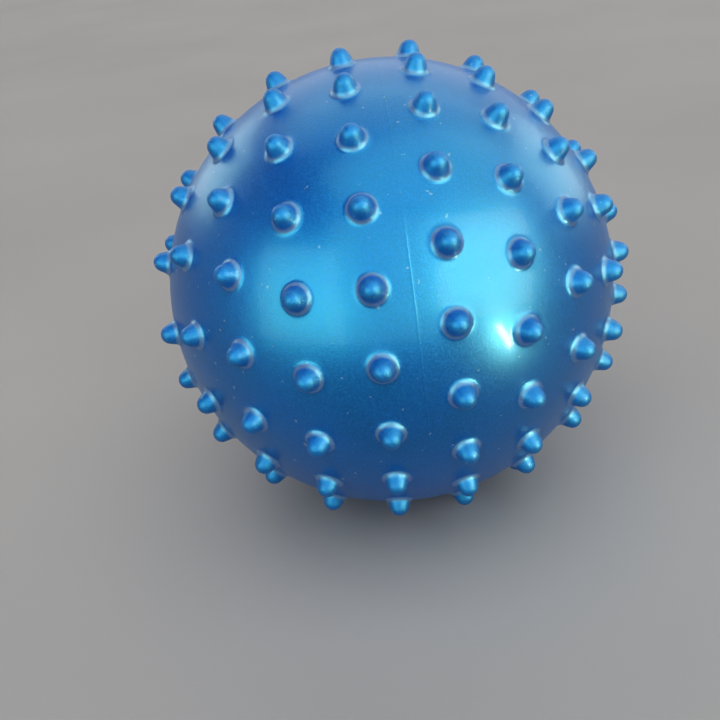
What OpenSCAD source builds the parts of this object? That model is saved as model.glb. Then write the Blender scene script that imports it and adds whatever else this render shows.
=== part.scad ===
// Inflatable sensory ball of soft vinyl, with rows of nubs and a plug valve.
// Millimetres. The origin is the middle of the ball, +X points along the mould's axis to the valve,
// and +Z is up when the ball lies on its nubs.

/* [Ball] */
// Diameter of the smooth skin, without the nubs
ball_d = 100; // [85:1:120]
// Thickness of the skin
skin_wall = 2; // [1.6:0.1:3]

/* [Parting line] */
// Distance of the mould's parting plane from the middle of the ball, towards the valve
parting_offset = 2.7; // [0:0.1:5]
// Height of the ridge that the parting plane leaves on the skin
ridge_h = 0.12; // [0.06:0.02:0.4]
// Width of that ridge
ridge_w = 0.5; // [0.3:0.1:1]

/* [Nubs] */
// Height of a nub above the skin
nub_h = 3.7; // [3.2:0.1:6]
// Diameter of the nub's cone where it reaches the skin
nub_foot_d = 5.8; // [5:0.1:7]
// Diameter of the nub's round tip
nub_tip_d = 3.8; // [2:0.1:4.4]
// Radius of the fillet between a nub and the skin
nub_fillet = 1.6; // [1:0.1:2.5]

/* [Rows] */
// Distance from one row of nubs to the next, along the skin
row_pitch = 14.5; // [13:0.1:18]
// Distance from one nub to the next along a row
nub_pitch = 14.75; // [13:0.05:18]
// Least bare skin between the nubs of the last row, and between them and the valve
row_gap = 0.3; // [0.3:0.1:3]

/* [Valve seat] */
// Diameter of the valve's bore
bore_d = 4; // [3:0.1:5]
// Diameter of the hole in the skin
port_d = 8; // [7.5:0.1:9]
// Thickness of the pad inside the skin round that hole
pad_t = 2.5; // [1.5:0.1:4]
// Diameter of the seat's outer lip, which lies on a flat in the skin
lip_d = 11; // [10:0.1:14]
// Thickness of that lip
lip_t = 0.8; // [0.6:0.1:1.2]
// Depth of the flat at its rim
flat_depth = 0.6; // [0.2:0.1:0.8]
// Diameter of the seat's flange inside the ball
flange_d = 17; // [13:0.5:20]
// Thickness of that flange
flange_t = 1.5; // [1:0.1:3]
// Length of the seat's neck behind the flange
neck_l = 7; // [4:0.5:12]
// Wall of the neck at its free end
neck_wall = 1.2; // [0.8:0.1:1.6]

/* [Valve plug] */
// Diameter of the plug's head
head_d = 7; // [6:0.1:8]
// Thickness of the plug's head
head_t = 1.2; // [1:0.1:1.6]
// Length of the tapered tip that leads the plug into the bore
lead_l = 2; // [1:0.1:4]

/* [Hidden] */
$fn = 64;

VINYL = [0.08, 0.36, 0.70];
WHITE = [0.90, 0.92, 0.93];

// Clearances and small edges
glue_gap = 0.05;
plug_gap = 0.04;
lip_room = 0.3;
ridge_sink = 0.06;
pad_margin = 1.5;
lip_bevel = 0.4;
head_bevel = 0.3;
neck_taper = 0.8;

ball_r = ball_d / 2;
inner_r = ball_r - skin_wall;

// Outline of a nub: a cone that runs up into a round tip and down into a fillet. Heights count from
// the skin. The fillet is set a little into the skin, so that it meets the skin at a clear angle.
foot_r = nub_foot_d / 2;
tip_r = nub_tip_d / 2;
tip_z = nub_h - tip_r;
nub_root = skin_wall / 2;
fillet_sink = 0.08;
base_r = ball_r - fillet_sink;
cone_angle = atan2(tip_z, -foot_r) - asin(tip_r / norm([foot_r, tip_z]));
cone_dir = [cos(cone_angle), sin(cone_angle)];
cone_out = [sin(cone_angle), -cos(cone_angle)];
cone_len = sqrt(foot_r * foot_r + tip_z * tip_z - tip_r * tip_r);
cone_top = [foot_r, 0] + cone_len * cone_dir;
// The fillet's middle lies one fillet radius out from the cone and from a ball of radius base_r.
fillet_from = [foot_r, ball_r] + nub_fillet * cone_out;
fillet_along = fillet_from * cone_dir;
fillet_left = fillet_from * fillet_from - pow(base_r + nub_fillet, 2);
fillet_slide = sqrt(fillet_along * fillet_along - fillet_left) - fillet_along;
fillet_reach = fillet_from + fillet_slide * cone_dir;
fillet_mid = fillet_reach - [0, ball_r];
fillet_low = fillet_reach * base_r / (base_r + nub_fillet) - [0, ball_r];
fillet_top = fillet_mid - nub_fillet * cone_out;
flare_r = fillet_low[0];

// Valve: radii, and distances from the middle of the ball along +X
bore_r = bore_d / 2;
port_r = port_d / 2;
flat_r = lip_d / 2 + lip_room;
pad_x = inner_r - pad_t;
flat_x = sqrt(ball_r * ball_r - flat_r * flat_r) - flat_depth;
lip_x = flat_x + lip_t;
flange_x = pad_x - flange_t;
neck_x = flange_x - neck_l;
neck_r = bore_r + neck_wall;
shank_r = bore_r - plug_gap;
lead_r = shank_r * 0.6;

// Rows, as angles from the parting plane. Both halves of the mould have the same rows, and each half
// goes on as far as its pole leaves room: for three nubs on the left, for the valve on the right.
function arc_angle(l) = l / ball_r * 180 / PI;
parting_angle = asin(parting_offset / ball_r);
row_step = arc_angle(row_pitch);
pole_left = arc_angle(2 / sqrt(3) * flare_r + row_gap);
pole_right = arc_angle(flat_r + flare_r + row_gap);
rows_left = floor((90 + parting_angle - pole_left) / row_step + 0.5);
rows_right = floor((90 - parting_angle - pole_right) / row_step + 0.5);
function row_angle(i) = (i + 0.5) * row_step;
function row_count(i) = max(3, round(2 * PI * ball_r * cos(row_angle(i)) / nub_pitch));

// Turn of each row from straight down, in steps of its own nubs
TURN_LEFT = [0.46, 0.08, -0.38, -0.13, 0.4];
TURN_RIGHT = [0.01, -0.12, 0.31, -0.2, 0.1];
function row_turn(turns, i) = turns[i % len(turns)] * 360 / row_count(i);

module along_x(x) {
    translate([x, 0, 0])
        rotate([0, 90, 0])
            children();
}

module nub() {
    rotate_extrude()
        difference() {
            polygon([
                [0, -nub_root],
                [flare_r, -nub_root],
                fillet_low,
                fillet_top,
                cone_top,
                [0, cone_top[1]]
            ]);
            translate(fillet_mid)
                circle(nub_fillet);
        }
    translate([0, 0, tip_z])
        sphere(tip_r);
}

module row_of_nubs(latitude, count, turn) {
    for (k = [0 : count - 1])
        rotate([turn + k * 360 / count, 0, 0])
            rotate([180, -latitude, 0])
                translate([0, 0, ball_r])
                    nub();
}

module parting_ridge() {
    skin_r = sqrt(ball_r * ball_r - parting_offset * parting_offset);
    top_r = skin_r + ridge_h;
    foot_depth = ridge_sink + ridge_w / 2 * tan(parting_angle);
    along_x(parting_offset)
        rotate_extrude()
            polygon([
                [skin_r - nub_root, -ridge_w / 2],
                [skin_r - foot_depth, -ridge_w / 2],
                [top_r, -ridge_w / 6],
                [top_r, ridge_w / 6],
                [skin_r - foot_depth, ridge_w / 2],
                [skin_r - nub_root, ridge_w / 2]
            ]);
}

module hollow_ball() {
    difference() {
        sphere(ball_r);
        difference() {
            sphere(inner_r);
            along_x(pad_x)
                cylinder(r = flange_d / 2 + pad_margin, h = ball_r);
        }
        along_x(flat_x)
            cylinder(r = flat_r, h = ball_r);
        along_x(0)
            cylinder(r = port_r, h = ball_d);
    }
}

module ball_skin() {
    color(VINYL)
        union() {
            hollow_ball();
            parting_ridge();
            for (i = [0 : rows_left - 1])
                row_of_nubs(parting_angle - row_angle(i), row_count(i), row_turn(TURN_LEFT, i));
            for (i = [0 : rows_right - 1])
                row_of_nubs(parting_angle + row_angle(i), row_count(i), row_turn(TURN_RIGHT, i));
        }
}

module valve_seat() {
    color(VINYL)
        along_x(0)
            rotate_extrude()
                polygon([
                    [bore_r, neck_x],
                    [neck_r, neck_x],
                    [neck_r + neck_taper, flange_x],
                    [flange_d / 2, flange_x],
                    [flange_d / 2, pad_x],
                    [port_r - glue_gap, pad_x],
                    [port_r - glue_gap, flat_x],
                    [lip_d / 2, flat_x],
                    [lip_d / 2, lip_x - lip_bevel],
                    [lip_d / 2 - lip_bevel, lip_x],
                    [bore_r, lip_x]
                ]);
}

module valve_plug() {
    color(WHITE)
        along_x(lip_x)
            rotate_extrude()
                polygon([
                    [0, neck_x - lead_l - lip_x],
                    [lead_r, neck_x - lead_l - lip_x],
                    [shank_r, neck_x - lip_x],
                    [shank_r, 0],
                    [head_d / 2 - head_bevel, 0],
                    [head_d / 2, head_bevel],
                    [head_d / 2, head_t - head_bevel],
                    [head_d / 2 - head_bevel, head_t],
                    [0, head_t]
                ]);
}

ball_skin();
valve_seat();
valve_plug();
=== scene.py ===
"""Looks of an inflatable sensory ball: pearly blue vinyl with rows of nubs, and a plug valve.

Metres. +X runs along the mould's axis to the valve, +Z is up, and the origin is the ball's middle.
"""

import math

import bmesh
import bpy
import numpy as np
from mathutils import Matrix, Vector


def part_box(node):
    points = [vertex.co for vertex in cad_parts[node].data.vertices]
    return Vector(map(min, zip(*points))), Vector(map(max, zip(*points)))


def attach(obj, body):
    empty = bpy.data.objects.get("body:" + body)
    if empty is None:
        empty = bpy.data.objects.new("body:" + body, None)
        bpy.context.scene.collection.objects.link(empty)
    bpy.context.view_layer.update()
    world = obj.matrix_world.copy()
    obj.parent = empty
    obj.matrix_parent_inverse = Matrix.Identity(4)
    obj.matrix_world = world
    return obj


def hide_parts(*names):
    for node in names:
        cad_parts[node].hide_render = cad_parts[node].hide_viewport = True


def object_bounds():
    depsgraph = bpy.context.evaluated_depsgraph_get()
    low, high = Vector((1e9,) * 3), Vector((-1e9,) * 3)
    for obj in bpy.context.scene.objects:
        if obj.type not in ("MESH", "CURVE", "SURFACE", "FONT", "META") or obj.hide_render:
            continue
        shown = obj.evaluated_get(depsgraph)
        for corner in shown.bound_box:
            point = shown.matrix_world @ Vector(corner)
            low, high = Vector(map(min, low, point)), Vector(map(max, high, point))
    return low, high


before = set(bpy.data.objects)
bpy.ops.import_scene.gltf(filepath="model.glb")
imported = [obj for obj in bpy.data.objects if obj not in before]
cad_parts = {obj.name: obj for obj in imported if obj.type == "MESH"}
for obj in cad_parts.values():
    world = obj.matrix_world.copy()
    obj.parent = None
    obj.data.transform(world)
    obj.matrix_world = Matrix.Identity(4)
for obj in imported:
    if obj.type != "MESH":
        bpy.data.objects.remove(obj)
CAD_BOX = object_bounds()

MM = 0.001

# Ball
BALL_R = 50 * MM
SKIN_WALL = 2 * MM
INNER_R = BALL_R - SKIN_WALL

# Nubs: a cone that runs up into a round tip and down into a fillet
NUB_H = 3.65 * MM
FOOT_R = 2.75 * MM
TIP_R = 2.1 * MM
FILLET_R = 1.5 * MM

# Rows of nubs, as angles from the parting plane, and their turns in steps of their own nubs
PARTING_X = 2.7 * MM
PARTING_LAT = math.asin(PARTING_X / BALL_R)
ROW_STEP = 14.5 * MM / BALL_R
NUB_PITCH = 14.75 * MM
TURN_LEFT = (0.46, 0.08, -0.38, -0.13, 0.4)
TURN_RIGHT = (0.01, -0.12, 0.31, -0.2, 0.1)

# Parting ridge
RIDGE_H = 0.05 * MM
RIDGE_HALF = 0.17 * MM
RIDGE_ROOM = 0.9 * MM
RIDGE_POINTS = 960
RIDGE_STEPS = (-2.6, -1.8, -1.2, -0.6, 0, 0.6, 1.2, 1.8, 2.6)

# Valve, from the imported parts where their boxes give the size
SEAT_LOW, SEAT_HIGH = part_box("valve_seat")
PLUG_LOW, PLUG_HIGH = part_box("valve_plug")
LIP_X = SEAT_HIGH.x
NECK_X = SEAT_LOW.x
FLANGE_R = SEAT_HIGH.y
HEAD_R = PLUG_HIGH.y
HEAD_X = PLUG_HIGH.x
PLUG_TIP_X = PLUG_LOW.x
LIP_T = 0.8 * MM
LIP_R = 5.5 * MM
LIP_ROOM = 0.3 * MM
FLAT_X = LIP_X - LIP_T
FLAT_R = LIP_R + LIP_ROOM
PORT_R = 4 * MM
BORE_R = 2 * MM
SHANK_R = 1.96 * MM
LEAD_R = 1.18 * MM
PAD_X = 45.5 * MM
PAD_R = FLANGE_R + 1.5 * MM
FLANGE_X = 44 * MM
NECK_R = 3.2 * MM
NECK_TAPER = 0.8 * MM
GLUE_GAP = 0.05 * MM
FLAT_EDGE = 0.12 * MM
RIM_R = FLAT_R + FLAT_EDGE
SOFT_EDGE = 0.3 * MM

# Fineness of the meshes: rings on a nub, round it and inside the ball, and points along a ring
DOME_RINGS = 6
CONE_RINGS = (0.33, 0.67)
FILLET_RINGS = 8
SKIN_RINGS = (0.2, 0.45, 0.72)
CAP_RINGS = 6
INNER_RINGS = 44
CELL_SIDE = 6
STRIP = 0.9 * MM / BALL_R
LATHE_POINTS = 96
WELD = 0.001 * MM


def turned(points, angle):
    """The points turned about the mould's axis, from straight down towards +Y."""
    c = math.cos(angle)
    s = math.sin(angle)
    x, y, z = points[..., 0], points[..., 1], points[..., 2]
    return np.stack([x, y * c - z * s, y * s + z * c], axis=-1)


def on_ball(lat, lon):
    """Unit directions for angles from the middle plane and round the mould's axis."""
    return np.stack(
        [np.sin(lat), np.cos(lat) * np.sin(lon), -np.cos(lat) * np.cos(lon)], axis=-1
    )


def circle_angles(count):
    return np.arange(count) * 2 * math.pi / count


def lathe_ring(x, radius, count=LATHE_POINTS):
    """Points of a circle round the mould's axis. x and radius may vary along it."""
    angles = circle_angles(count)
    x = np.broadcast_to(x, count)
    return np.stack([x, radius * np.sin(angles), -radius * np.cos(angles)], axis=-1)


class Shell:
    """Vertices and faces of one closed mesh, gathered ring by ring."""

    def __init__(self):
        self.points = []
        self.faces = []

    def add(self, points):
        """Adds points and returns their numbers."""
        first = len(self.points)
        self.points.extend(np.reshape(points, (-1, 3)))
        return list(range(first, len(self.points)))

    def band(self, low, high):
        """Quads between two closed rings of as many points."""
        count = len(low)
        for k in range(count):
            after = (k + 1) % count
            self.faces.append((low[k], low[after], high[after], high[k]))

    def zip_up(self, low, high):
        """Triangles between two closed rings, each a list of (angle, number) in order of angle."""
        low = low + [(low[0][0] + 2 * math.pi, low[0][1])]
        high = high + [(high[0][0] + 2 * math.pi, high[0][1])]
        i = 0
        j = 0
        while i < len(low) - 1 or j < len(high) - 1:
            high_done = j == len(high) - 1
            low_left = i < len(low) - 1
            if low_left and (high_done or low[i + 1][0] <= high[j + 1][0]):
                self.faces.append((low[i][1], low[i + 1][1], high[j][1]))
                i += 1
            else:
                self.faces.append((low[i][1], high[j + 1][1], high[j][1]))
                j += 1

    def close_start(self, ring, pole):
        """A fan from a pole to the first ring of a lathe."""
        tip = self.add(pole)[0]
        for k in range(len(ring)):
            self.faces.append((tip, ring[(k + 1) % len(ring)], ring[k]))

    def close_end(self, ring, pole):
        """A fan from the last ring of a lathe to a pole."""
        tip = self.add(pole)[0]
        for k in range(len(ring)):
            self.faces.append((ring[k], ring[(k + 1) % len(ring)], tip))

    def lathe(self, outline):
        """Rings for an outline of (x, radius) pairs. Returns the first and the last ring."""
        rings = [self.add(lathe_ring(x, radius)) for x, radius in outline]
        for low, high in zip(rings, rings[1:]):
            self.band(low, high)
        return rings[0], rings[-1]

    def to_object(self, name, sharp_angle=math.radians(40)):
        mesh = bpy.data.meshes.new(name)
        mesh.from_pydata([tuple(p) for p in self.points], [], self.faces)
        shape = bmesh.new()
        shape.from_mesh(mesh)
        bmesh.ops.remove_doubles(shape, verts=shape.verts, dist=WELD)
        shape.to_mesh(mesh)
        shape.free()
        mesh.shade_smooth()
        mesh.set_sharp_from_angle(angle=sharp_angle)
        made = bpy.data.objects.new(name, mesh)
        bpy.context.scene.collection.objects.link(made)
        return made


def in_order(pairs):
    """(angle, number) pairs in order of angle, from 0 up to a full turn."""
    return sorted((angle % (2 * math.pi), number) for angle, number in pairs)


# Shape of the skin

def nub_outline():
    """(distance from the nub's axis, distance from the ball's middle) from the tip to the skin."""
    tip_z = BALL_R + NUB_H - TIP_R
    lean = math.atan2(NUB_H - TIP_R, -FOOT_R) - math.asin(
        TIP_R / math.hypot(FOOT_R, NUB_H - TIP_R)
    )
    along = np.array([math.cos(lean), math.sin(lean)])
    out = np.array([math.sin(lean), -math.cos(lean)])
    start = np.array([FOOT_R, BALL_R]) + FILLET_R * out
    reach = BALL_R + FILLET_R
    half = start @ along
    middle = start + (math.sqrt(half * half - start @ start + reach * reach) - half) * along
    dome_end = math.atan2(out[0], out[1])
    dome = [
        (TIP_R * math.sin(a), tip_z + TIP_R * math.cos(a))
        for a in np.linspace(0, dome_end, DOME_RINGS + 1)[1:]
    ]
    fillet_start = math.atan2(-out[1], -out[0])
    fillet_end = math.atan2(-middle[1], -middle[0])
    fillet = [
        (middle[0] + FILLET_R * math.cos(a), middle[1] + FILLET_R * math.sin(a))
        for a in np.linspace(fillet_start, fillet_end, FILLET_RINGS)
    ]
    cone_top = np.array(dome[-1])
    cone = [tuple(cone_top + t * (np.array(fillet[0]) - cone_top)) for t in CONE_RINGS]
    return dome + cone + fillet


def cell(lat, lat_low, lat_high, half_lon):
    """Rings of points round one nub that points straight down the row's middle line."""
    steps = np.arange(CELL_SIDE) / CELL_SIDE
    lats = np.concatenate([
        np.full(CELL_SIDE, lat_low),
        lat_low + (lat_high - lat_low) * steps,
        np.full(CELL_SIDE, lat_high),
        lat_high - (lat_high - lat_low) * steps,
    ])
    lons = half_lon * np.concatenate([
        2 * steps - 1,
        np.full(CELL_SIDE, 1),
        1 - 2 * steps,
        np.full(CELL_SIDE, -1),
    ])
    border = on_ball(lats, lons)
    axis = on_ball(np.array(lat), np.array(0.0))
    outward = border - np.outer(border @ axis, axis)
    outward /= np.linalg.norm(outward, axis=1)[:, None]
    border_angle = np.arccos(border @ axis)
    outline = nub_outline()
    rings = [axis * z + outward * rho for rho, z in outline]
    flare_angle = math.atan2(*outline[-1])
    for t in SKIN_RINGS:
        angle = (flare_angle + (border_angle - flare_angle) * t)[:, None]
        rings.append(BALL_R * (axis * np.cos(angle) + outward * np.sin(angle)))
    rings.append(BALL_R * border)
    return axis * (BALL_R + NUB_H), rings


def add_row(shell, lat, lat_low, lat_high, count, turn):
    """One row of nubs with the skin round them. Returns its lower and upper edge."""
    half_lon = math.pi / count
    tip, rings = cell(lat, lat_low, lat_high, half_lon)
    low_edge = []
    high_edge = []
    for n in range(count):
        angle = turn + n * 2 * half_lon
        tip_number = shell.add(turned(tip, angle))[0]
        numbers = [shell.add(turned(ring, angle)) for ring in rings]
        around = len(numbers[0])
        for k in range(around):
            after = (k + 1) % around
            shell.faces.append((tip_number, numbers[0][k], numbers[0][after]))
            for inner, outer in zip(numbers, numbers[1:]):
                shell.faces.append((inner[k], outer[k], outer[after], inner[after]))
        edge = numbers[-1]
        for k in range(CELL_SIDE):
            at = angle + half_lon * (2 * k / CELL_SIDE - 1)
            low_edge.append((at, edge[k]))
            high_edge.append((at, edge[3 * CELL_SIDE - k]))
    return in_order(low_edge), in_order(high_edge)


def ridge_strength(angles):
    """How far the parting ridge stands up along its length, from a trace to its full height."""
    waves = np.sin(3 * angles + 0.4) + np.sin(7 * angles + 2.1) + 0.6 * np.sin(17 * angles)
    return 0.62 + 0.38 * waves / 2.6


def add_ridge(shell):
    """The mark of the mould's parting plane. Returns its left and right edge."""
    angles = circle_angles(RIDGE_POINTS)
    rings = []
    for step in RIDGE_STEPS:
        offset = step * RIDGE_HALF
        lat = PARTING_LAT + offset / BALL_R
        height = RIDGE_H * math.exp(-step * step) * ridge_strength(angles)
        points = on_ball(np.full(RIDGE_POINTS, lat), angles) * (BALL_R + height)[:, None]
        rings.append(shell.add(points))
    for low, high in zip(rings, rings[1:]):
        shell.band(low, high)
    return in_order(zip(angles, rings[0])), in_order(zip(angles, rings[-1]))


def add_left_cap(shell, lat_edge):
    """The bare skin at the left pole. Returns its edge."""
    pole = -math.pi / 2
    angles = circle_angles(LATHE_POINTS)
    lats = pole + (lat_edge - pole) * np.linspace(0, 1, CAP_RINGS + 1)[1:]
    rings = [
        shell.add(BALL_R * on_ball(np.full(LATHE_POINTS, lat), angles)) for lat in lats
    ]
    for low, high in zip(rings, rings[1:]):
        shell.band(low, high)
    shell.close_start(rings[0], (-BALL_R, 0, 0))
    return in_order(zip(angles, rings[-1]))


def add_valve_side(shell):
    """From the rim of the valve's flat through the port to the inner skin. Returns the rim."""
    rim_x = math.sqrt(BALL_R**2 - FLAT_R**2)
    pad_edge_x = math.sqrt(INNER_R**2 - PAD_R**2)
    inner_start = math.asin(PAD_R / INNER_R)
    inner = [
        (INNER_R * math.cos(a), INNER_R * math.sin(a))
        for a in np.linspace(inner_start, math.pi, INNER_RINGS + 2)[1:-1]
    ]
    first, last = shell.lathe([
        (rim_x - FLAT_EDGE / 6, RIM_R),
        (rim_x - FLAT_EDGE / 4, FLAT_R + FLAT_EDGE / 3),
        (rim_x - FLAT_EDGE, FLAT_R),
        (FLAT_X + FLAT_EDGE, FLAT_R),
        (FLAT_X, FLAT_R - FLAT_EDGE),
        (FLAT_X, PORT_R + FLAT_EDGE),
        (FLAT_X - FLAT_EDGE, PORT_R),
        (PAD_X, PORT_R),
        (PAD_X, PAD_R),
        (pad_edge_x, PAD_R),
        *inner,
    ])
    shell.close_end(last, (-INNER_R, 0, 0))
    return in_order(zip(circle_angles(LATHE_POINTS), first))


def unevenness(points):
    """Soft dents of the blown-up skin, from 0 to 1."""
    x, y, z = (points / BALL_R).T
    waves = (
        np.sin(5.1 * x + 2.3 * y + 0.7)
        + np.sin(4.3 * y - 3.7 * z + 1.9)
        + np.sin(6.1 * z + 2.9 * x + 4.2)
        + 0.5 * np.sin(11.3 * x - 7.9 * y + 2.6)
        + 0.5 * np.sin(9.7 * y + 8.3 * z + 0.3)
    )
    return 0.5 + 0.125 * waves


def dent_skin(shell, depth=0.06 * MM):
    """Moves the outer skin inwards by its unevenness, less and less towards the valve."""
    points = np.array(shell.points)
    radius = np.linalg.norm(points, axis=1)
    valve_distance = np.hypot(points[:, 1], points[:, 2]) + np.where(points[:, 0] > 0, 0, BALL_R)
    fade = np.clip((valve_distance - 2 * FLAT_R) / FLAT_R, 0, 1)
    outer = radius > BALL_R - 0.5 * SKIN_WALL
    move = np.where(outer, depth * fade * unevenness(points), 0)
    shell.points = list(points * (1 - move / radius)[:, None])


def row_count(i):
    return max(3, round(2 * math.pi * BALL_R * math.cos((i + 0.5) * ROW_STEP) / NUB_PITCH))


def make_skin():
    """The whole skin as one closed mesh.

    It goes from the left pole over the rows to the valve, and back inside.
    """
    shell = Shell()
    rim_lat = math.acos(RIM_R / BALL_R)
    ridge_gap = RIDGE_ROOM / BALL_R
    rows = []
    for side, turns in ((-1, TURN_LEFT), (1, TURN_RIGHT)):
        for i, turn in enumerate(turns):
            count = row_count(i)
            lat = PARTING_LAT + side * (i + 0.5) * ROW_STEP
            rows.append((lat, count, turn * 2 * math.pi / count))
    rows.sort()
    edge = add_left_cap(shell, rows[0][0] - ROW_STEP / 2 - STRIP / 2)
    for number, (lat, count, turn) in enumerate(rows):
        lat_low = lat - ROW_STEP / 2 + STRIP / 2
        lat_high = min(lat + ROW_STEP / 2 - STRIP / 2, rim_lat - STRIP)
        if number == len(TURN_LEFT) - 1:
            lat_high = PARTING_LAT - ridge_gap
        if number == len(TURN_LEFT):
            lat_low = PARTING_LAT + ridge_gap
            ridge_left, ridge_right = add_ridge(shell)
            shell.zip_up(edge, ridge_left)
            edge = ridge_right
        low_edge, high_edge = add_row(shell, lat, lat_low, lat_high, count, turn)
        shell.zip_up(edge, low_edge)
        edge = high_edge
    shell.zip_up(edge, add_valve_side(shell))
    dent_skin(shell)
    return shell.to_object("pearl_skin")


# Shape of the valve

def make_seat():
    """The soft grommet in the skin: lip, neck in the port, flange inside and the tube behind it."""
    shell = Shell()
    edge = SOFT_EDGE
    outline = [
        (NECK_X, BORE_R + edge / 2),
        (NECK_X, NECK_R - edge),
        (NECK_X + edge / 3, NECK_R - edge / 3),
        (NECK_X + edge, NECK_R),
        (FLANGE_X - edge, NECK_R + NECK_TAPER),
        (FLANGE_X, NECK_R + NECK_TAPER + edge),
        (FLANGE_X, FLANGE_R - edge),
        (FLANGE_X + edge / 3, FLANGE_R - edge / 3),
        (FLANGE_X + edge, FLANGE_R),
        (PAD_X - edge / 3, FLANGE_R),
        (PAD_X, FLANGE_R - edge / 3),
        (PAD_X, PORT_R - GLUE_GAP),
        (FLAT_X, PORT_R - GLUE_GAP),
        (FLAT_X, LIP_R - edge / 3),
        (FLAT_X + edge / 3, LIP_R),
        (LIP_X - 1.4 * edge, LIP_R),
        (LIP_X - 0.9 * edge, LIP_R - 0.2 * edge),
        (LIP_X - 0.45 * edge, LIP_R - 0.6 * edge),
        (LIP_X - 0.15 * edge, LIP_R - 1.2 * edge),
        (LIP_X, LIP_R - 2.2 * edge),
        (LIP_X, BORE_R + edge),
        (LIP_X - edge / 3, BORE_R + edge / 3),
        (LIP_X - edge, BORE_R),
        (NECK_X + edge / 2, BORE_R),
    ]
    first, last = shell.lathe(outline)
    shell.band(last, first)
    return shell.to_object("valve_grommet")


def make_plug():
    """The stopper: a head with a shallow dish, and a shank with a tapered tip."""
    shell = Shell()
    edge = SOFT_EDGE
    outline = [
        (PLUG_TIP_X, LEAD_R - edge),
        (PLUG_TIP_X + edge / 3, LEAD_R - edge / 3),
        (PLUG_TIP_X + edge, LEAD_R),
        (NECK_X - edge / 2, SHANK_R - edge / 6),
        (NECK_X + edge / 2, SHANK_R),
        (LIP_X, SHANK_R),
        (LIP_X, HEAD_R - edge),
        (LIP_X + edge / 3, HEAD_R - edge / 3),
        (LIP_X + edge, HEAD_R),
        (HEAD_X - edge, HEAD_R),
        (HEAD_X - edge / 3, HEAD_R - edge / 3),
        (HEAD_X, HEAD_R - edge),
        (HEAD_X, HEAD_R - 3 * edge),
        (HEAD_X - 0.3 * edge, HEAD_R - 4 * edge),
        (HEAD_X - 0.7 * edge, HEAD_R - 6 * edge),
        (HEAD_X - 0.9 * edge, HEAD_R - 8 * edge),
    ]
    first, last = shell.lathe(outline)
    shell.close_start(first, (PLUG_TIP_X, 0, 0))
    shell.close_end(last, (HEAD_X - edge, 0, 0))
    return shell.to_object("valve_stopper")


# Materials

BLACK = (0, 0, 0)
WHITE = (1, 1, 1)


class Paint:
    """A material with one Principled shader, and short calls for the nodes that feed it."""

    def __init__(self, name):
        self.material = bpy.data.materials.new(name)
        self.material.use_nodes = True
        self.nodes = self.material.node_tree.nodes
        self.shader = self.nodes["Principled BSDF"]
        self.place = self.nodes.new("ShaderNodeTexCoord").outputs["Object"]

    def set(self, **values):
        """Sets sockets of the shader. An underscore stands for a space."""
        for name, value in values.items():
            self.shader.inputs[name.replace("_", " ")].default_value = value

    def link(self, source, target):
        self.material.node_tree.links.new(source, target)

    def noise(self, scale, detail=2.0, roughness=0.5):
        node = self.nodes.new("ShaderNodeTexNoise")
        node.inputs["Scale"].default_value = scale
        node.inputs["Detail"].default_value = detail
        node.inputs["Roughness"].default_value = roughness
        self.link(self.place, node.inputs["Vector"])
        return node.outputs["Fac"]

    def colours(self, factor, *stops):
        """A colour ramp through (place, colour) stops."""
        node = self.nodes.new("ShaderNodeValToRGB")
        ramp = node.color_ramp
        for element, (place, colour) in zip(ramp.elements, stops):
            element.position = place
            element.color = (*colour, 1)
        for place, colour in stops[2:]:
            ramp.elements.new(place).color = (*colour, 1)
        self.link(factor, node.inputs["Fac"])
        return node.outputs["Color"]

    def spread(self, factor, from_low, from_high, low, high):
        """Maps one range of numbers to another."""
        node = self.nodes.new("ShaderNodeMapRange")
        node.inputs["From Min"].default_value = from_low
        node.inputs["From Max"].default_value = from_high
        node.inputs["To Min"].default_value = low
        node.inputs["To Max"].default_value = high
        self.link(factor, node.inputs["Value"])
        return node.outputs["Result"]

    def radius(self):
        """Distance from the middle of the ball."""
        node = self.nodes.new("ShaderNodeVectorMath")
        node.operation = "LENGTH"
        self.link(self.place, node.inputs[0])
        return node.outputs["Value"]

    def waves(self, factor, pace):
        """A sine wave along a factor."""
        scaled = self.nodes.new("ShaderNodeMath")
        scaled.operation = "MULTIPLY"
        scaled.inputs[1].default_value = pace
        self.link(factor, scaled.inputs[0])
        wave = self.nodes.new("ShaderNodeMath")
        wave.operation = "SINE"
        self.link(scaled.outputs[0], wave.inputs[0])
        return wave.outputs[0]

    def multiply(self, first, second):
        node = self.nodes.new("ShaderNodeMath")
        node.operation = "MULTIPLY"
        self.link(first, node.inputs[0])
        self.link(second, node.inputs[1])
        return node.outputs[0]

    def blend(self, factor, below, above, most):
        """A colour laid over another one, as far as a factor from 0 to 1 times a share says."""
        share = self.spread(factor, 0.0, 1.0, 0.0, most)
        node = self.nodes.new("ShaderNodeMix")
        node.data_type = "RGBA"
        self.link(share, node.inputs["Factor"])
        self.link(below, node.inputs["A"])
        node.inputs["B"].default_value = (*above, 1)
        return node.outputs["Result"]

    def bump(self, height, strength, distance, under=None):
        node = self.nodes.new("ShaderNodeBump")
        node.inputs["Strength"].default_value = strength
        node.inputs["Distance"].default_value = distance
        self.link(height, node.inputs["Height"])
        if under is not None:
            self.link(under, node.inputs["Normal"])
        return node.outputs["Normal"]

    def feed(self, source, socket):
        self.link(source, self.shader.inputs[socket])


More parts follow.
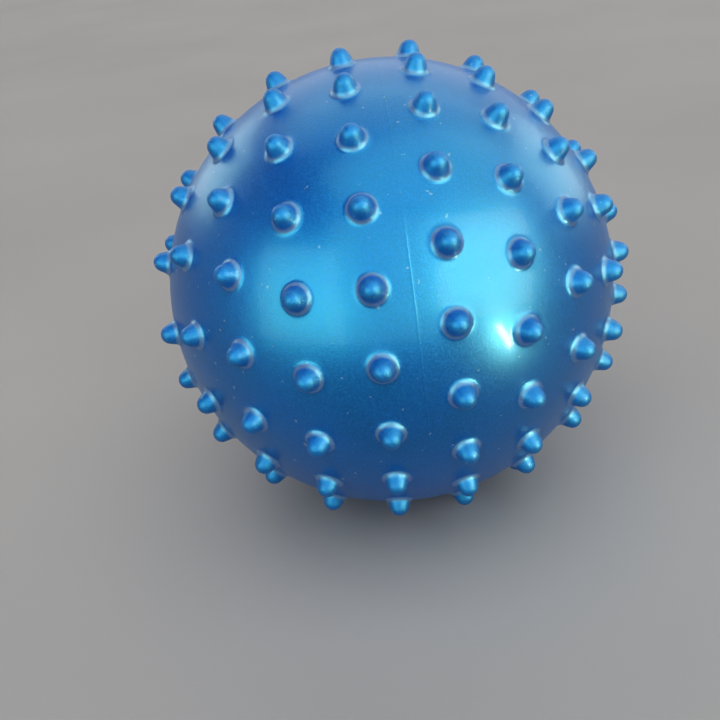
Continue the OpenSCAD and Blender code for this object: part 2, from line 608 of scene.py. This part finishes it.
def pearl_vinyl():
    """Clear gloss over blue vinyl full of pearl flakes, which throw a wide cyan sheen.

    Each nub's base is painted paler all round, as a painted reflection of the light its fillet
    catches. The tips are duller and have fine rings from the cutter that made the mould. A few
    pale specks lie on the skin.
    """
    paint = Paint("pearl_vinyl")
    paint.set(
        IOR=2.1,
        Specular_Tint=(0.06, 0.90, 0.90, 1),
        Coat_Weight=0.08,
        Coat_Roughness=0.1,
        Coat_IOR=1.5,
    )
    lift = paint.spread(paint.radius(), BALL_R, BALL_R + NUB_H, 0.0, 1.0)
    clouds = paint.noise(45, detail=3)
    flakes = paint.noise(2600, detail=2, roughness=0.6)
    blue = paint.colours(clouds, (0.3, (0.001, 0.040, 0.36)), (0.7, (0.002, 0.054, 0.45)))
    # Paler ring round each nub's base, where the fillet sits: a painted reflection of the light the
    # fillets catch
    painted_foot_highlight = paint.colours(lift, (0.02, BLACK), (0.06, WHITE), (0.16, WHITE), (0.30, BLACK))
    sparks = paint.colours(flakes, (0.42, BLACK), (0.72, WHITE))
    blue = paint.blend(sparks, blue, (0.005, 0.15, 0.74), 0.5)
    specks = paint.colours(paint.noise(900, detail=0), (0.82, BLACK), (0.85, WHITE))
    blue = paint.blend(specks, blue, (0.45, 0.55, 0.65), 0.4)
    # The painted reflection on the nub bases is laid over the blue here
    paint.feed(paint.blend(painted_foot_highlight, blue, (0.42, 0.48, 0.62), 0.34), "Base Color")
    dull = paint.spread(lift, 0.10, 0.40, 1.0, 1.4)
    gloss = paint.spread(flakes, 0.3, 0.7, 0.28, 0.40)
    paint.feed(paint.multiply(gloss, dull), "Roughness")
    grain = paint.bump(flakes, 0.7, 0.04 * MM)
    on_tip = paint.colours(lift, (0.30, BLACK), (0.45, WHITE))
    rings = paint.multiply(paint.waves(lift, 110), on_tip)
    paint.feed(paint.bump(rings, 0.4, 0.02 * MM, grain), "Normal")
    faint_grain = paint.bump(flakes, 0.1, 0.05 * MM)
    paint.feed(paint.bump(rings, 0.15, 0.02 * MM, faint_grain), "Coat Normal")
    return paint.material


def seat_vinyl():
    """The grommet's plain blue vinyl, glossy and a little cloudy."""
    paint = Paint("seat_vinyl")
    paint.set(IOR=1.9, Specular_Tint=(0.2, 0.9, 1.0, 1), Coat_Weight=0.3, Coat_Roughness=0.1)
    clouds = paint.noise(400, detail=3)
    blue = paint.colours(clouds, (0.3, (0.004, 0.09, 0.52)), (0.7, (0.006, 0.12, 0.62)))
    paint.feed(blue, "Base Color")
    paint.feed(paint.spread(paint.noise(900), 0.3, 0.7, 0.28, 0.4), "Roughness")
    paint.feed(paint.bump(paint.noise(1500, detail=2), 0.2, 0.03 * MM), "Normal")
    return paint.material


def plug_vinyl():
    """The stopper's milky white vinyl."""
    paint = Paint("plug_vinyl")
    paint.set(IOR=1.38, Subsurface_Weight=0.3, Subsurface_Scale=1.5 * MM)
    clouds = paint.noise(500, detail=3)
    white = paint.colours(clouds, (0.3, (0.66, 0.68, 0.68)), (0.7, (0.76, 0.77, 0.76)))
    paint.feed(white, "Base Color")
    paint.feed(paint.spread(paint.noise(900), 0.3, 0.7, 0.32, 0.45), "Roughness")
    paint.feed(paint.bump(paint.noise(1500, detail=2), 0.2, 0.03 * MM), "Normal")
    return paint.material


def floor_paint():
    """A pale matt grey with painted light: lighter on the backdrop than round the ball."""
    paint = Paint("floor_paint")
    # Painted light: the floor grows lighter from 1.5 m out and up the backdrop, where less lamp
    # light reaches
    far = paint.spread(paint.radius(), 1.5, 4.0, 0.0, 1.0)
    grey = paint.colours(paint.noise(6), (0.3, (0.52, 0.508, 0.496)), (0.7, (0.56, 0.547, 0.534)))
    paint.feed(paint.blend(far, grey, (0.93, 0.92, 0.91), 1.0), "Base Color")
    paint.set(Roughness=1.0, Specular_IOR_Level=0.0)
    return paint.material


def dress(piece, node, body, material):
    """Puts a piece in the place of a CAD node, on its body, with its finish."""
    piece.data.materials.append(material)
    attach(piece, body)
    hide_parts(node)


# Camera, at the photograph's viewing angle

IMAGE_PX = 720
FOCAL_PX = 978
BALL_PX = (389.9, 282.8)
AZIMUTH = math.radians(-1.6)
ELEVATION = math.radians(23)
ROLL = math.radians(6.9)
CAMERA_DISTANCE = 4.54 * BALL_R
SENSOR = 36.0


def view_axes():
    """Right, up and towards the camera, for a camera that looks straight at the ball."""
    turn = Matrix.Rotation(AZIMUTH, 3, "Z")
    level_right = turn @ Vector((1, 0, 0))
    level_up = turn @ Vector((0, math.sin(ELEVATION), math.cos(ELEVATION)))
    back = turn @ Vector((0, -math.cos(ELEVATION), math.sin(ELEVATION)))
    right = math.cos(ROLL) * level_right - math.sin(ROLL) * level_up
    up = math.sin(ROLL) * level_right + math.cos(ROLL) * level_up
    return right, up, back


def make_camera():
    right, up, back = view_axes()
    straight = Matrix((right, up, back)).transposed()
    ball_ray = Vector((BALL_PX[0] - IMAGE_PX / 2, IMAGE_PX / 2 - BALL_PX[1], -FOCAL_PX))
    aim = ball_ray.rotation_difference(Vector((0, 0, -1))).to_matrix()
    data = bpy.data.cameras.new("camera")
    data.sensor_width = SENSOR
    data.lens = SENSOR * FOCAL_PX / IMAGE_PX
    data.clip_start = 0.01
    data.clip_end = 20
    camera = bpy.data.objects.new("camera", data)
    camera.matrix_world = Matrix.Translation(back * CAMERA_DISTANCE) @ (straight @ aim).to_4x4()
    bpy.context.scene.collection.objects.link(camera)
    bpy.context.scene.camera = camera


# Floor and light

def make_floor():
    """A round floor whose rim curves up into a backdrop on all sides."""
    first_r = 0.2
    flat_r = 3.0
    rise_r = 1.5
    top_z = 4.0
    outline = [(r, 0.0) for r in np.linspace(first_r, flat_r, 8)]
    outline += [
        (flat_r + rise_r * math.sin(a), rise_r * (1 - math.cos(a)))
        for a in np.linspace(0, math.pi / 2, 13)[1:]
    ]
    outline.append((flat_r + rise_r, top_z))
    angles = circle_angles(LATHE_POINTS)
    shell = Shell()
    rings = [
        shell.add(np.stack([r * np.cos(angles), r * np.sin(angles), 0 * angles + z], axis=-1))
        for r, z in outline
    ]
    for low, high in zip(rings, rings[1:]):
        shell.band(low, high)
    shell.close_start(rings[0], (0, 0, 0))
    floor = shell.to_object("floor")
    floor.location.z = CAD_BOX[0].z
    floor.data.materials.append(floor_paint())


def softbox(name, side, rise, distance, width, height, power, card=False, shine=True,
            lean=0, colour=(1, 1, 1)):
    """An area light aimed at the ball, at angles to the right of and above the camera's line.

    Lean turns its long side from upright to the right. A card only shows in reflections and lights
    no matt surface. A light without shine does the reverse.
    """
    right, up, back = view_axes()
    side = math.radians(side)
    rise = math.radians(rise)
    away = math.cos(rise) * (math.cos(side) * back + math.sin(side) * right) + math.sin(rise) * up
    data = bpy.data.lights.new(name, "AREA")
    data.shape = "RECTANGLE"
    data.size = width
    data.size_y = height
    data.energy = power
    data.color = colour
    light = bpy.data.objects.new(name, data)
    lean = math.radians(lean)
    tall = math.sin(lean) * right + math.cos(lean) * up
    tall = (tall - tall.dot(away) * away).normalized()
    turn = Matrix((tall.cross(away), tall, away)).transposed()
    light.matrix_world = Matrix.Translation(away * distance) @ turn.to_4x4()
    light.visible_camera = False
    light.visible_diffuse = not card
    light.visible_glossy = shine
    bpy.context.scene.collection.objects.link(light)


def make_lights():
    """Cards for the reflections on the ball, and wide lights for the room.

    Each line gives the angles, the distance, the width, the height and the power. The two cards on
    the right are warm, so that the bright patch they make is paler than the sheen.
    """
    softbox("front", 0, 1, 0.6, 0.70, 0.70, 3.9, card=True)
    softbox("front_left", -44, -12, 0.6, 0.46, 0.62, 3.9, card=True)
    softbox("front_right", 46, 8, 0.6, 0.56, 0.48, 11.0, card=True, colour=(1, 0.53, 0.47))
    softbox("right_key", 50.5, -19.5, 0.164, 0.006, 0.036, 0.19, card=True, lean=-48,
            colour=(1, 0.44, 0.42))
    softbox("high_front", 24, 54, 0.6, 1.0, 0.40, 2.8, card=True)
    softbox("high", 0, 92, 0.6, 0.9, 0.36, 1.3, card=True)
    softbox("rim_left", -123, 30, 0.6, 0.36, 0.26, 0.6, card=True)
    softbox("rim_right", 112, 34, 0.6, 0.40, 0.30, 1.1, card=True)
    softbox("overhead_back", 0, 125, 2.5, 2.5, 2.0, 14)
    softbox("room", 0, 42, 3.0, 4.0, 4.0, 61, shine=False)
    dim_grey = (0.12, 0.12, 0.125, 1)
    world = bpy.data.worlds.new("room")
    world.use_nodes = True
    world.node_tree.nodes["Background"].inputs["Color"].default_value = dim_grey
    bpy.context.scene.world = world


dress(make_skin(), "ball_skin", "ball", pearl_vinyl())
dress(make_seat(), "valve_seat", "ball", seat_vinyl())
dress(make_plug(), "valve_plug", "plug", plug_vinyl())
make_floor()
make_lights()
make_camera()
bpy.context.scene.view_settings.view_transform = "Standard"
